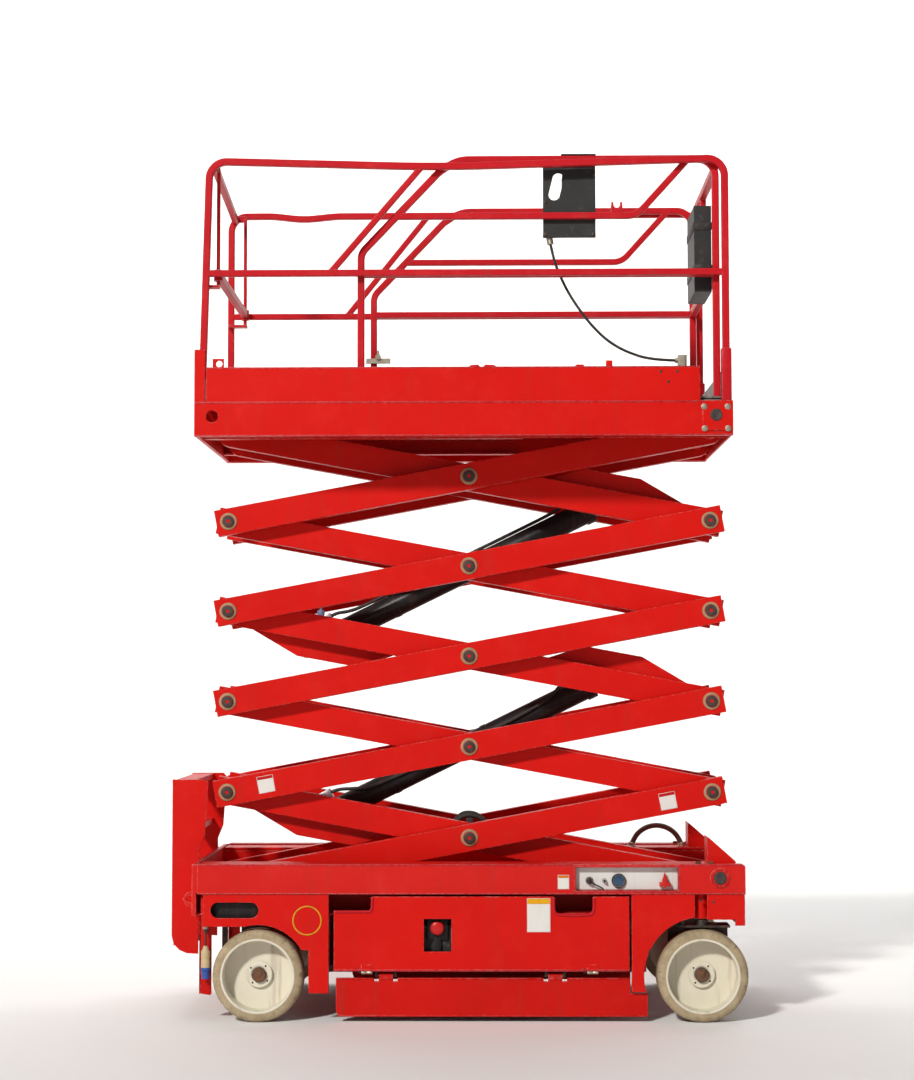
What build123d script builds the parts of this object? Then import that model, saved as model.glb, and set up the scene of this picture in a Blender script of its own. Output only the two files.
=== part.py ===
from build123d import *
import os
from math import sin, cos, tan, radians, degrees, atan2, hypot, acos

# Scissor lift, partly raised.  Millimetres, +Z up, +X to the steered (front) end,
# -Y is the right side.  Everything is laid out about a working origin and moved by
# X_SHIFT when written, so that the stored origin is under the middle of the outline.
X_SHIFT = 18.25

# overall
HALF_W = 600.0            # half width over pin heads and end plates
SKIN_Y = 596.0            # outer face of the chassis side beams
WHEEL_R = 191.5
WHEEL_W = 130.0
WHEEL_Y = 533.0           # wheel centre plane
REAR_X = -847.0
FRONT_X = 1017.0
RIM_R = 152.0
DISH_R = 145.0            # dish of a wheel, radius and depth
DISH_D = 84.0
SPINDLE_Y = 545.0         # outer end of a spindle

# scissor
STAGES = 5
LIFT_DEG = 10.582         # arm angle as stored
ARM_L = 2140.0            # pivot to pivot
ARM_HALF = 58.0           # half depth of an arm
ARM_OVER = 55.0           # end beyond the pivot
IN_Y0, IN_Y1 = 180.0, 235.0
OUT_Y0, OUT_Y1 = 245.0, 300.0
PIN_R = 24.0
FIT = 0.05                # radial running clearance
COLLAR_R = 34.0
HEAD_Y = 316.0
PIVOT_X = 1091.0          # fixed pivots
PIVOT_Z = 550.0
BOSS_Z = 600.0            # pin bosses on the chassis sides
ROLLER_R = 28.0
TRACK_Y0, TRACK_Y1 = 322.0, 366.0

# lift cylinders: pin places along an inner arm from its lower front pivot
CYL_A_LOW, CYL_N_LOW = 1790.0, -95.0
CYL_A_HIGH, CYL_N_HIGH = 350.0, 95.0
BARREL_R = 52.0
BORE_R = 43.0
ROD_R = 35.0
BARREL_L = 1420.0

# platform
PLAT_X0, PLAT_X1 = -1127.0, 1163.0
BAND_Z0, BAND_Z1 = 2465.0, 2611.0
BAND_Y = 594.0
DECK_Z = 2614.0
TOE_Z = 2758.0
HOLE_Z = 2550.0           # holes near the rear end of the band
RAIL_W = 30.0
RAIL_Y = 575.0
EXT_Y = 535.0
TOP_Z = 3652.0
MID_Z = 3166.0

th = radians(LIFT_DEG)
STAGE_H = ARM_L * sin(th)
PLAT_Z = PIVOT_Z + STAGES * STAGE_H


def box(x0, x1, y0, y1, z0, z1):
    return Pos((x0 + x1) / 2, (y0 + y1) / 2, (z0 + z1) / 2) * Box(
        abs(x1 - x0), abs(y1 - y0), abs(z1 - z0))


def cyl_y(x, z, r, y0, y1):
    return Pos(x, (y0 + y1) / 2, z) * Rot(90, 0, 0) * Cylinder(r, abs(y1 - y0))


def cyl_z(x, y, r, z0, z1):
    return Pos(x, y, (z0 + z1) / 2) * Cylinder(r, abs(z1 - z0))


def cyl_x(y, z, r, x0, x1):
    return Pos((x0 + x1) / 2, y, z) * Rot(0, 90, 0) * Cylinder(r, abs(x1 - x0))


def plate(pts, y0, y1):
    """A profile in X-Z given thickness from y0 to y1."""
    f = make_face(Polyline(*[(p[0], p[1]) for p in pts], close=True))
    return Pos(0, y1, 0) * extrude(Plane.XZ * f, y1 - y0)


def flip(s):
    return mirror(s, about=Plane.XZ)


def both(s):
    return s + flip(s)


def rod(p, q, r):
    v = Vector(*q) - Vector(*p)
    return Plane(origin=p, z_dir=v) * Pos(0, 0, v.length / 2) * Cylinder(r, v.length)


def bar(pts, w=RAIL_W, radii=None, side=(0, 1, 0), soft=5.0):
    """A square tube along a bent line; `side` is a direction across every run."""
    if len(pts) == 2:
        path = Line(pts[0], pts[1])
    else:
        path = FilletPolyline(*pts, radius=radii)
    d = Vector(*pts[1]) - Vector(*pts[0])
    sec = Plane(origin=pts[0], x_dir=side, z_dir=d) * RectangleRounded(w, w, soft)
    return sweep(sec, path=path)


def xz(pts, y):
    return [(p[0], y, p[1]) for p in pts]


def cord_route(pts):
    """Radii for a cord's bends: as large as the runs allow."""
    v = [Vector(*b) - Vector(*a) for a, b in zip(pts, pts[1:])]
    out = []
    for a, b in zip(v, v[1:]):
        c = max(-1.0, min(1.0, a.dot(b) / (a.length * b.length)))
        turn = acos(c)
        out.append(0.45 * min(a.length, b.length) / tan(turn / 2))
    return out


def cord(name, pts, r):
    radii = cord_route(pts)
    path = FilletPolyline(*pts, radius=radii)
    d = Vector(*pts[1]) - Vector(*pts[0])
    s = sweep(Plane(origin=pts[0], z_dir=d) * Circle(r), path=path)
    print(name, "length", round(path.length, 1), "radii", [round(x, 1) for x in radii],
          "volume ratio", round(s.volume / (3.14159265 * r * r * path.length), 4))
    return s


NODES = {}

# hinge lines of the side doors and of the pothole guards
DOOR_Y, DOOR_Z, DOOR_HINGE_X = 594.0, 208.0, (-390, 555)
GUARD_Y, GUARD_Z, GUARD_HINGE_X = 568.0, 194.0, (-310, 400)

# ---------------------------------------------------------------- chassis frame
beam = plate([(-1102, 534), (1197, 534), (1197, 650), (1186, 657), (-1102, 657)],
             540, SKIN_Y)
frame = both(beam)
# ground-control recess in the right-hand beam
frame -= box(483, 920, -SKIN_Y - 5, -562, 545, 648)
# well between the tracks, with end plates and bulkheads
frame += both(box(-1118, 1175, 374, 384, 444, 639))
frame += box(-1115, 900, -545, 545, 440, 448) + box(-1115, 1175, -496, 496, 440, 448)
frame += box(-1128, -1110, -572, 572, 440, 655)
frame += both(box(-1118, -1090, 550, 572, 536, 655))
frame += box(1165, 1185, -550, 550, 402, 641)
frame += box(-560, -548, -560, 560, 206, 448)
frame += box(770, 782, -560, 560, 206, 448)
# roller tracks for the lower arms
frame += both(box(-1114, 275, TRACK_Y0, 378, PIVOT_Z - 38, PIVOT_Z - 28.5))
frame += both(box(-1114, 275, TRACK_Y0, 378, PIVOT_Z + 28.5, PIVOT_Z + 38))
# shaft that carries the front pivots, and pin bosses on the beams
frame += cyl_y(PIVOT_X, PIVOT_Z, PIN_R, -560, 560)
frame += both(cyl_y(PIVOT_X, BOSS_Z, 40, SKIN_Y - 6, HALF_W))
frame += both(cyl_y(PIVOT_X, PIVOT_Z, 36, 243, 379))
# tie-down lugs at the rear, eye across the machine
lug = plate([(-1120, 452), (-1120, 540), (-1172, 520), (-1186, 496), (-1172, 466)], 400, 418)
lug -= cyl_y(-1156, 496, 16, 390, 430)
frame += both(lug)
NODES["chassis_frame"] = frame

# ---------------------------------------------------------------- fenders
fen = plate([(-1077, 397), (-820, 397), (-820, 121), (-550, 121), (-550, 534), (-1077, 534)],
            584, 592)
fen -= cyl_y(REAR_X, WHEEL_R, 213, 570, 610)
fen -= box(-1100, -634, 570, 610, 0, 300) & box(-1100, -634, 570, 610, 0, 300)
fen -= box(-1014, -877, 570, 610, 433, 498) + cyl_y(-1014, 465.5, 32.5, 570, 610) \
    + cyl_y(-877, 465.5, 32.5, 570, 610)
# return flanges that stiffen the panel and join it to the frame
fen += box(-1077, -1069, 546, 584, 397, 534)
fen += box(-558, -550, 560, 584, 121, 534)
NODES["rear_fenders"] = both(fen)

arch = plate([(720, 126), (788, 126), (788, 270), (790, 300), (985, 300), (985, 534), (720, 534)],
             584, 592)
arch -= cyl_y(FRONT_X, WHEEL_R, 246, 570, 610)
bump = plate([(1036, 427), (1153, 427), (1153, 402), (1194, 402), (1194, 534), (1036, 534)],
             584, 592)
bump += box(1186, 1194, 540, 584, 402, 534)
fr = arch + bump
fr += box(720, 728, 560, 584, 126, 534)
# kingpin tubes
house = cyl_z(FRONT_X, WHEEL_Y, 30, 428, 534) - cyl_z(FRONT_X, WHEEL_Y, 18 + FIT, 420, 518)
fr += house
NODES["front_fenders"] = both(fr)

# ---------------------------------------------------------------- floor, covers
pan = box(-548, 770, -560, 560, 206, 216)
pan += both(box(-548, 770, 552, 560, 216, 236))
# hinge eyes and pins for the guards, hinge lugs and pins for the doors
for x in GUARD_HINGE_X:
    for e in (x - 44, x + 34):
        pan += both(box(e, e + 10, 550, 575, 187, 210))
    pan += both(cyl_x(GUARD_Y, GUARD_Z, 4, x - 44, x + 44))
for x in DOOR_HINGE_X:
    pan += both(box(x - 38, x - 26, 540, 597, 205.5, 209.5))
    pan += both(cyl_x(DOOR_Y, DOOR_Z, 3, x - 38, x + 22))
NODES["floor_pan"] = pan

cov = box(-1102, 1165, 384, 540, 641, 652)
cov += plate([(1046, 652), (1165, 652), (1165, 664), (1056, 760), (1046, 766)], 388, 520)
NODES["top_covers"] = both(cov)

# ---------------------------------------------------------------- entry ladder
side = plate([(-1245, 330), (-1236, 296), (-1212, 270), (-1180, 256), (-1130, 253),
              (-1130, 420), (-1128.5, 420), (-1128.5, 700), (-1104, 760), (-1090, 985),
              (-1104, 1000), (-1245, 1000)], 333, 339)
side += box(-1134, -1128, 339, 372, 440, 657)
side += box(-1245, -1239, 300, 333, 340, 1000)
lad = both(side)
for z in (300, 540, 780, 985):
    lad += box(-1238, -1150, -333, 333, z - 12, z + 12)
NODES["ladder"] = lad

# ---------------------------------------------------------------- ground controls
pan2 = box(487, 916, -566.0, -562, 549, 644)
pan2 += cyl_y(545, 587, 13, -584, -566) + cyl_y(608, 587, 8, -582, -566)
pan2 += cyl_y(668, 587, 28, -577, -566)
pan2 += box(842, 878, -592, -566, 566, 580)
NODES["control_panel"] = pan2
knob = cyl_y(-95, 389, 29, -576, -562) + cyl_y(-95, 389, 14, -562, -548)
knob += box(-140, -50, -552, -544, 340, 438)
knob += box(-110, -80, -552, -544, 216, 340)
NODES["disconnect_knob"] = knob

# ---------------------------------------------------------------- batteries, power unit
bat = Part()
for x in (-430, -170, 90, 350):
    b = box(x, x + 240, -535, -340, 216, 424)
    b -= box(x - 5, x + 245, -545, -470, 398, 430)
    bat += b
bat += box(-430, 60, 350, 530, 216, 420)
bat += cyl_x(440, 300, 70, 130, 470) + box(120, 480, 380, 500, 216, 240)
NODES["battery_pack"] = bat

# ---------------------------------------------------------------- rear axle
axle = cyl_y(REAR_X, WHEEL_R, 30, 380, SPINDLE_Y)
axle += cyl_y(REAR_X, WHEEL_R, 78, 330, 452)
axle += box(REAR_X - 95, REAR_X + 95, 330, 350, 120, 440)
axle = both(axle)
axle += box(REAR_X - 45, REAR_X + 45, -330, 330, 150, 240)
axle += box(-1075, -1033, -60, 60, 400, 440) + box(-1066, -1042, -12, 12, 108, 400)
axle += box(-1066, REAR_X, -12, 12, 180, 214)
NODES["rear_axle"] = axle

# ---------------------------------------------------------------- doors, guards
door = plate([(-528, 212), (710, 212), (710, 523), (562, 523), (562, 470), (552, 452),
              (540, 448), (416, 448), (404, 452), (394, 470), (394, 523), (-367, 523),
              (-367, 470), (-375, 463), (-528, 463)], -594, -580)
door -= box(-150, -35, -600, -570, 294, 430)
hinge = Part()
for x in DOOR_HINGE_X:
    hinge += box(x - 22, x + 22, 588, 596, 208, 240) + cyl_x(DOOR_Y, DOOR_Z, 6, x - 22, x + 22)
    hinge -= cyl_x(DOOR_Y, DOOR_Z, 3 + FIT, x - 22, x + 22)
    door -= box(x - 44, x - 22, -610, -570, 200, 222)
door += flip(hinge)
NODES["door_right"] = door
door2 = plate([(-528, 212), (710, 212), (710, 523), (562, 523), (562, 470), (552, 452),
               (540, 448), (416, 448), (404, 452), (394, 470), (394, 523), (-367, 523),
               (-367, 470), (-375, 463), (-528, 463)], 580, 594)
for x in DOOR_HINGE_X:
    door2 -= box(x - 44, x - 22, 570, 610, 200, 222)
door2 += hinge
NODES["door_left"] = door2

gp = plate([(-496, 23), (787, 23), (787, 119), (714, 119), (714, 183), (-520, 183),
            (-520, 48), (-513, 30)], 562, 574)
for x in GUARD_HINGE_X:
    gp += box(x - 30, x + 30, 563, 573, 180, 194) + cyl_x(GUARD_Y, GUARD_Z, 7, x - 30, x + 30)
    gp -= cyl_x(GUARD_Y, GUARD_Z, 4 + FIT, x - 30, x + 30)
    gp -= box(x - 49, x - 30, 555, 580, 168, 195) + box(x + 30, x + 49, 555, 580, 168, 195)
NODES["guard_left"] = gp
NODES["guard_right"] = flip(gp)

# ---------------------------------------------------------------- steering
STEER_ARM = 80.0
kn = cyl_z(FRONT_X, WHEEL_Y, 18, 400, 515)
kn += cyl_z(FRONT_X, WHEEL_Y, 28, 396, 422)
kn += box(FRONT_X - 70, FRONT_X + 118, 436, 560, 390, 400)
kn += box(FRONT_X - 70, FRONT_X + 118, 436, 454, 330, 400)
kn += box(FRONT_X - 62, FRONT_X + 62, 436, 454, 120, 400)
kn += cyl_y(FRONT_X, WHEEL_R, 30, 440, SPINDLE_Y)
kn += cyl_y(FRONT_X, WHEEL_R, 66, 372, 436)
kn += box(FRONT_X - STEER_ARM - 14, FRONT_X - 60, WHEEL_Y - 16, WHEEL_Y + 16, 390, 400)
kn += cyl_z(FRONT_X - STEER_ARM, WHEEL_Y, 6, 400, 421)
NODES["knuckle_left"] = kn
NODES["knuckle_right"] = flip(kn)
tie = rod((FRONT_X - STEER_ARM, -WHEEL_Y + 10, 411), (FRONT_X - STEER_ARM, WHEEL_Y - 10, 411), 8)
for s in (-1, 1):
    tie += cyl_z(FRONT_X - STEER_ARM, s * WHEEL_Y, 14, 402, 420)
for s in (-1, 1):
    tie -= cyl_z(FRONT_X - STEER_ARM, s * WHEEL_Y, 6 + FIT, 395, 425)
NODES["tie_rod"] = tie

# ---------------------------------------------------------------- wheels
y0, y1 = WHEEL_Y - WHEEL_W / 2, WHEEL_Y + WHEEL_W / 2
tyre = cyl_y(0, WHEEL_R, WHEEL_R, y0, y1)
tyre = fillet(tyre.edges().filter_by(GeomType.CIRCLE), 12)
tyre -= cyl_y(0, WHEEL_R, RIM_R, y0 - 5, y1 + 5)
rim = cyl_y(0, WHEEL_R, RIM_R, y0 + 4, y1 - 4)
rim -= cyl_y(0, WHEEL_R, DISH_R, y1 - DISH_D, y1 + 5)
rim -= cyl_y(0, WHEEL_R, DISH_R, y0 - 5, y0 + 16)
rim += cyl_y(0, WHEEL_R, 54, y1 - DISH_D - 10, y1 - DISH_D + 14)
rim += cyl_y(0, WHEEL_R, 44, y0 + 4, y0 + 30)
rim -= cyl_y(0, WHEEL_R, 30 + FIT, y0 - 10, y1 + 10)
for nm, x, sgn in (("front_right", FRONT_X, -1), ("front_left", FRONT_X, 1),
                   ("rear_right", REAR_X, -1), ("rear_left", REAR_X, 1)):
    t, r = Pos(x, 0, 0) * tyre, Pos(x, 0, 0) * rim
    NODES["tyre_" + nm] = t if sgn > 0 else flip(t)
    NODES["rim_" + nm] = r if sgn > 0 else flip(r)


# ---------------------------------------------------------------- scissor arms
def arm(ya, yb, round_front=False, round_rear=False):
    x1 = 0 if round_front else ARM_OVER
    x0 = -ARM_L if round_rear else -ARM_L - ARM_OVER
    s = box(x0, x1, ya, yb, -ARM_HALF, ARM_HALF)
    if round_front:
        s += cyl_y(0, 0, ARM_HALF, ya, yb)
    if round_rear:
        s += cyl_y(-ARM_L, 0, ARM_HALF, ya, yb)
    return s


def ears(a, n, up):
    """Gussets that carry a cylinder pin: a long flat edge, sloping back to the arm."""
    k = 1 if up else -1
    out = [(a - k * 250, k * 56), (a - k * 28, n + k * 42), (a + k * 230, n + k * 42),
           (a + k * 380, k * 56), (a + k * 380, k * 8), (a - k * 250, k * 8)]
    pad = [(a - k * 240, k * 10), (a - k * 240, k * 50), (a + k * 370, k * 50), (a + k * 370, k * 10)]
    return both(plate([(-p, q) for p, q in out], 140, 172)
                + plate([(-p, q) for p, q in pad], 170, IN_Y0 + 2))


TUBE_R = 30.0
for i in range(1, STAGES + 1):
    zb = PIVOT_Z + (i - 1) * STAGE_H
    zt = zb + STAGE_H
    # inner pair: lower pivot at the front, rising to the rear
    s = both(arm(IN_Y0, IN_Y1, round_front=(i == 1), round_rear=(i == STAGES)))
    if i in (2, 4):
        for a in (140, 2000):
            s += cyl_y(-a, 0, TUBE_R, -IN_Y0, IN_Y0)
    else:
        s += cyl_y(-ARM_L / 2, 0, 12 if i == 3 else TUBE_R, -IN_Y0, IN_Y0)
    if i == 3:
        s += both(cyl_y(-ARM_L / 2, 0, 40, 160, IN_Y0 + 2))
    if i == 1:
        s += cyl_y(-140, 0, TUBE_R, -IN_Y0, IN_Y0)
        s += ears(CYL_A_LOW, CYL_N_LOW, False)
        s += cyl_y(-CYL_A_LOW, CYL_N_LOW, PIN_R, -150, 150)
    if i == 3:
        s += ears(CYL_A_LOW, CYL_N_LOW, False) + ears(CYL_A_HIGH, CYL_N_HIGH, True)
        s += both(cyl_y(-CYL_A_LOW, CYL_N_LOW, PIN_R, 58, 152))
        s += both(cyl_y(-CYL_A_HIGH, CYL_N_HIGH, PIN_R, 46, 152))
    if i == 5:
        s += ears(CYL_A_HIGH, CYL_N_HIGH, True)
        s += cyl_y(-CYL_A_HIGH, CYL_N_HIGH, PIN_R, -150, 150)
    s -= cyl_y(0, 0, PIN_R + FIT, -260, 260)
    for k in (-1, 1):
        s -= cyl_y(-ARM_L / 2, 0, PIN_R + FIT, k * IN_Y0, k * 260)
    if i < STAGES:
        s -= cyl_y(-ARM_L, 0, PIN_R + FIT, -260, 260)
    else:
        s += cyl_y(-ARM_L, 0, PIN_R, -364, 364)
        s += both(cyl_y(-ARM_L, 0, ROLLER_R, 326, 362))
    NODES["inner_%d" % i] = Pos(PIVOT_X, 0, zb) * Rot(0, LIFT_DEG, 0) * s

    # outer pair: upper pivot at the front, falling to the rear
    s = both(arm(OUT_Y0, OUT_Y1, round_front=(i == STAGES)))
    if i < STAGES:
        s += cyl_y(0, 0, PIN_R, -HEAD_Y, HEAD_Y)
        s += both(cyl_y(0, 0, COLLAR_R, OUT_Y1, 306))
    else:
        s -= cyl_y(0, 0, PIN_R + FIT, -320, 320)
    s += both(cyl_y(-ARM_L / 2, 0, PIN_R, IN_Y0 + 2, HEAD_Y))
    s += both(cyl_y(-ARM_L / 2, 0, COLLAR_R, OUT_Y1, 306))
    if i == 1:
        s += cyl_y(-ARM_L, 0, PIN_R, -364, 364)
        s += both(cyl_y(-ARM_L, 0, ROLLER_R, 326, 362))
    else:
        s += cyl_y(-ARM_L, 0, PIN_R, -HEAD_Y, HEAD_Y)
        s += both(cyl_y(-ARM_L, 0, COLLAR_R, OUT_Y1, 306))
    NODES["outer_%d" % i] = Pos(PIVOT_X, 0, zt) * Rot(0, -LIFT_DEG, 0) * s


# ---------------------------------------------------------------- lift cylinders
def on_arm(stage, a, n):
    zb = PIVOT_Z + (stage - 1) * STAGE_H
    return (PIVOT_X - a * cos(th) + n * sin(th), zb + a * sin(th) + n * cos(th))


p1 = on_arm(1, CYL_A_LOW, CYL_N_LOW)
p3 = on_arm(3, CYL_A_HIGH, CYL_N_HIGH)
q3 = on_arm(3, CYL_A_LOW, CYL_N_LOW)
CYL_LEN = hypot(p3[0] - p1[0], p3[1] - p1[1])
CYL_DEG = degrees(atan2(p3[1] - p1[1], p3[0] - p1[0]))
print("cylinder", CYL_LEN, CYL_DEG, "foot", p1, q3, "eye", p3)

for nm, foot, open_foot in (("lower", p1, False), ("upper", q3, True)):
    b = cyl_x(0, 0, BARREL_R, 70, BARREL_L)
    b += box(20, 80, -34, 34, -38, 38)
    b += cyl_y(0, 0, 45, -45, 45)
    b += cyl_x(0, 0, BARREL_R + 6, BARREL_L - 46, BARREL_L)
    # oil ports
    b += cyl_z(110, 0, 15, 40, 78) + cyl_z(1350, 0, 12, 40, 74)
    b -= cyl_x(0, 0, BORE_R, 82, BARREL_L - 40)
    b -= cyl_x(0, 0, ROD_R + FIT, BARREL_L - 60, BARREL_L + 10)
    if open_foot:
        b += cyl_y(0, 0, PIN_R, -53, 53)
    else:
        b -= cyl_y(0, 0, PIN_R + FIT, -60, 60)
    r = cyl_x(0, 0, ROD_R, 230, CYL_LEN - 30)
    r += cyl_y(CYL_LEN, 0, 40, -32, 32)
    if open_foot:
        r -= cyl_y(CYL_LEN, 0, PIN_R + FIT, -60, 60)
    else:
        r += cyl_y(CYL_LEN, 0, PIN_R, -41, 41)
    place = Pos(foot[0], 0, foot[1]) * Rot(0, -CYL_DEG, 0)
    NODES["barrel_" + nm] = place * b
    NODES["rod_" + nm] = place * r

# ---------------------------------------------------------------- platform frame
pf = both(box(PLAT_X0, PLAT_X1, 554, BAND_Y, BAND_Z0, BAND_Z1))
for k in (-1, 1):
    pf -= cyl_y(-1051, HOLE_Z, 26, k * 540, k * 610)
pf += box(PLAT_X0 + 1, -1110, -560, 560, BAND_Z0 + 1, BAND_Z1 - 1)
pf += box(1155, PLAT_X1 - 1, -560, 560, BAND_Z0 + 1, BAND_Z1 - 1)
pf += both(box(-1116, 1159, TRACK_Y1, 374, PLAT_Z - 37, DECK_Z))
pf += both(box(-1114, 275, TRACK_Y0, 370, PLAT_Z - 38, PLAT_Z - 28.5))
pf += both(box(-1114, 275, TRACK_Y0, 370, PLAT_Z + 28.5, PLAT_Z + 38))
for x in (-600, -260, 30, 320, 640):
    pf += box(x - 30, x + 30, -560, 560, PLAT_Z + 66, BAND_Z1 - 2)
pf += cyl_y(PIVOT_X, PLAT_Z, PIN_R, -BAND_Y + 4, BAND_Y - 4)
pf += both(cyl_y(PIVOT_X, PLAT_Z, 40, 318, 366))
pf += both(box(1034, PLAT_X1, BAND_Y, HALF_W, 2484, BAND_Z1))
# toe boards
pf += both(box(-1076, 1024, 578, BAND_Y, BAND_Z1, TOE_Z))
# rear corner sockets
pf += both(box(-1127, -1081, 591, BAND_Y, BAND_Z1, 2836))
NODES["platform_frame"] = pf

NODES["main_deck"] = box(-1110, 1155, -554, 554, DECK_Z, DECK_Z + 8)

# ---------------------------------------------------------------- main guardrails
R_CORNER = 75.0
near = bar(xz([(-1096, BAND_Z1), (-1068, TOP_Z), (-87, TOP_Z - 29), (1137, TOP_Z + 5),
               (1137, BAND_Z1)], -RAIL_Y), radii=[R_CORNER, 7000, R_CORNER])
near += bar(xz([(-1082, MID_Z), (1137, MID_Z)], -RAIL_Y), w=28)
near -= box(-1200, -1000, -620, -540, 2500, BAND_Z1)
near += bar(xz([(-161, TOP_Z - 30), (-551, MID_Z)], -RAIL_Y), w=26)
NODES["guardrail_right"] = near
far = bar(xz([(-1107, BAND_Z1), (-1107, TOP_Z), (-905, TOP_Z + 1), (-760, TOP_Z - 16),
              (-600, TOP_Z), (1137, TOP_Z + 3), (1137, BAND_Z1)], RAIL_Y),
          radii=[R_CORNER, 500, 500, 500, R_CORNER])
far += bar(xz([(-1107, MID_Z), (1137, MID_Z)], RAIL_Y), w=28)
far += bar(xz([(-161, TOP_Z), (-551, MID_Z)], RAIL_Y), w=26)
NODES["guardrail_left"] = far

# rear gate: top rail, guide rods for the sliding bar, kick plate
inside = box(-1200, -900, -560, 560, 2600, 3720)
gate = bar([(-1046, -600, 3629), (-1088, 600, 3629)], side=(0, 0, 1)) & inside
for sgn, px in ((-1, -1051), (1, -1084)):
    y = sgn * 525
    gate += cyl_z(-1035, y, 8, 3120, 3629)
    gate += box(px - 12, -1029, y - 6, y + 6, 3629 - 15, 3629 + 15)
lo = [(-1, -1084), (1, -1107)]
for sgn, px in lo:
    a, b = sorted((sgn * 517, sgn * 560))
    gate += box(px - 8, -1027, a, b, 3108, 3120)
NODES["gate_frame"] = gate
kick = box(-1108, -1100, -540, 540, DECK_Z + 8, TOE_Z)
kick += box(-1052, -1004, -570, -562, DECK_Z + 8, 2800) - cyl_y(-1024, 2778, 14, -580, -550)
NODES["entry_kick_plate"] = kick

eb = box(-1050, -1020, -480, 480, MID_Z - 15, MID_Z + 15)
for s in (-1, 1):
    a, b = sorted((s * 480, s * 508))
    eb += box(-1046, -1024, a, b, MID_Z - 11, MID_Z + 11)
    eb += cyl_z(-1035, s * 525, 19, MID_Z - 24, MID_Z + 24)
for s in (-1, 1):
    eb -= cyl_z(-1035, s * 525, 8 + FIT, MID_Z - 40, MID_Z + 40)
NODES["entry_bar"] = eb

# ---------------------------------------------------------------- roll-out extension
ed = box(-430, 1140, -550, 550, 2628, 2636)
ed += both(box(-430, 1140, 470, 500, 2622.5, 2628))
ed += box(1120, 1128, -550, 550, 2636, 2744)
NODES["extension_deck"] = ed

ex = bar(xz([(-420, 2636), (-420, 3258), (-85, 3610), (-5, 3663), (1101, 3663), (1101, 2636)], EXT_Y),
         radii=[70, 160, 160, R_CORNER])
ex += bar(xz([(-270, 3418), (763, 3418), (985, 3663)], EXT_Y), w=28, radii=[90])
ex += bar(xz([(-420, MID_Z), (1101, MID_Z)], EXT_Y), w=28)
NODES["extension_rail_left"] = ex
NODES["extension_rail_right"] = flip(ex)

fr2 = box(1086, 1116, -520, 520, 3603, 3633) + box(1086, 1116, -520, 520, MID_Z - 15, MID_Z + 15)
fr2 += box(1088, 1114, -13, 13, MID_Z + 15, 3603)
NODES["front_rail"] = fr2

# platform control box on a bracket plate
cb = box(362, 588, -520, -516, 3326, 3684)
cb -= Pos(419, -518, 3548) * Rot(0, 14, 0) * (Box(48, 20, 72) + Pos(0, 0, 36) * Rot(90, 0, 0) * Cylinder(24, 20)
                                               + Pos(0, 0, -36) * Rot(90, 0, 0) * Cylinder(24, 20))
cb += box(445, 586, -516, -430, 3345, 3600)
cb += box(440, 588, -552, -516, 3678, 3684)
NODES["control_box"] = cb
db = box(1012, 1086, -505, -190, 3092, 3466) - box(1020, 1066, -497, -198, 3102, 3480)
NODES["document_box"] = db

# control cable with its gland and connector
cy = -497.0
cab = [(395, 3301), (408, 3237), (431, 3174), (467, 3097), (518, 3016), (582, 2935),
       (646, 2876), (722, 2833), (824, 2800), (927, 2797)]
NODES["control_cable"] = cord("control_cable", xz(cab, cy), 6.0)
d0 = Vector(cab[0][0] - cab[1][0], 0, cab[0][1] - cab[1][1]).normalized()
d1 = Vector(cab[-1][0] - cab[-2][0], 0, cab[-1][1] - cab[-2][1]).normalized()
g0 = Vector(cab[0][0], cy, cab[0][1])
g1 = Vector(cab[-1][0], cy, cab[-1][1])
ce = rod(tuple(g0), tuple(g0 + d0 * 30), 14)
ce += box(362, 420, -516, -484, 3331, 3345)
ce2 = rod(tuple(g1), tuple(g1 + d1 * 14), 11)
ce2 += box(938, 976, -514, -480, 2772, 2818)
ce2 += box(946, 968, -520, -512, 2636, 2818)
NODES["cable_ends"] = ce + ce2

lt = box(-455, -340, 504, 520, 2930, 2954) + cyl_y(-398, 2960, 13, 496, 520)
lt += box(-404, -392, 500, 512, 2954, 2992)
NODES["slide_latch"] = lt

# ---------------------------------------------------------------- hose loop, charger lead
hose = [(round(905 + 121 * cos(radians(166.13 - 19.0325 * i)), 2),
         round(629 + 121 * sin(radians(166.13 - 19.0325 * i)), 2)) for i in range(9)]
print("hose", hose)
NODES["hose_loop"] = cord("hose_loop", xz(hose, 452.0), 12.0)
lead = [(-1068, 386), (-1066, 366), (-1069, 346), (-1067, 326), (-1068, 306)]
NODES["charger_lead"] = cord("charger_lead", xz(lead, -572.0), 4.0)
dl0 = Vector(lead[0][0] - lead[1][0], 0, lead[0][1] - lead[1][1]).normalized()
dl1 = Vector(lead[-1][0] - lead[-2][0], 0, lead[-1][1] - lead[-2][1]).normalized()
k0 = Vector(lead[0][0], -572, lead[0][1])
k1 = Vector(lead[-1][0], -572, lead[-1][1])
pl = rod(tuple(k1), tuple(k1 + dl1 * 84), 19)
pl += rod(tuple(k1 + dl1 * 80), tuple(k1 + dl1 * 128), 16)
NODES["charger_plug"] = pl
NODES["charger_gland"] = rod(tuple(k0), tuple(k0 + dl0 * 11.05), 12)

os.makedirs("parts", exist_ok=True)
for name, shape in NODES.items():
    export_step(Pos(X_SHIFT, 0, 0) * shape, os.path.join("parts", name + ".step"))
print(len(NODES), "nodes")
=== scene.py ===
import bpy, bmesh, math, random
from mathutils import Vector, Matrix


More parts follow.
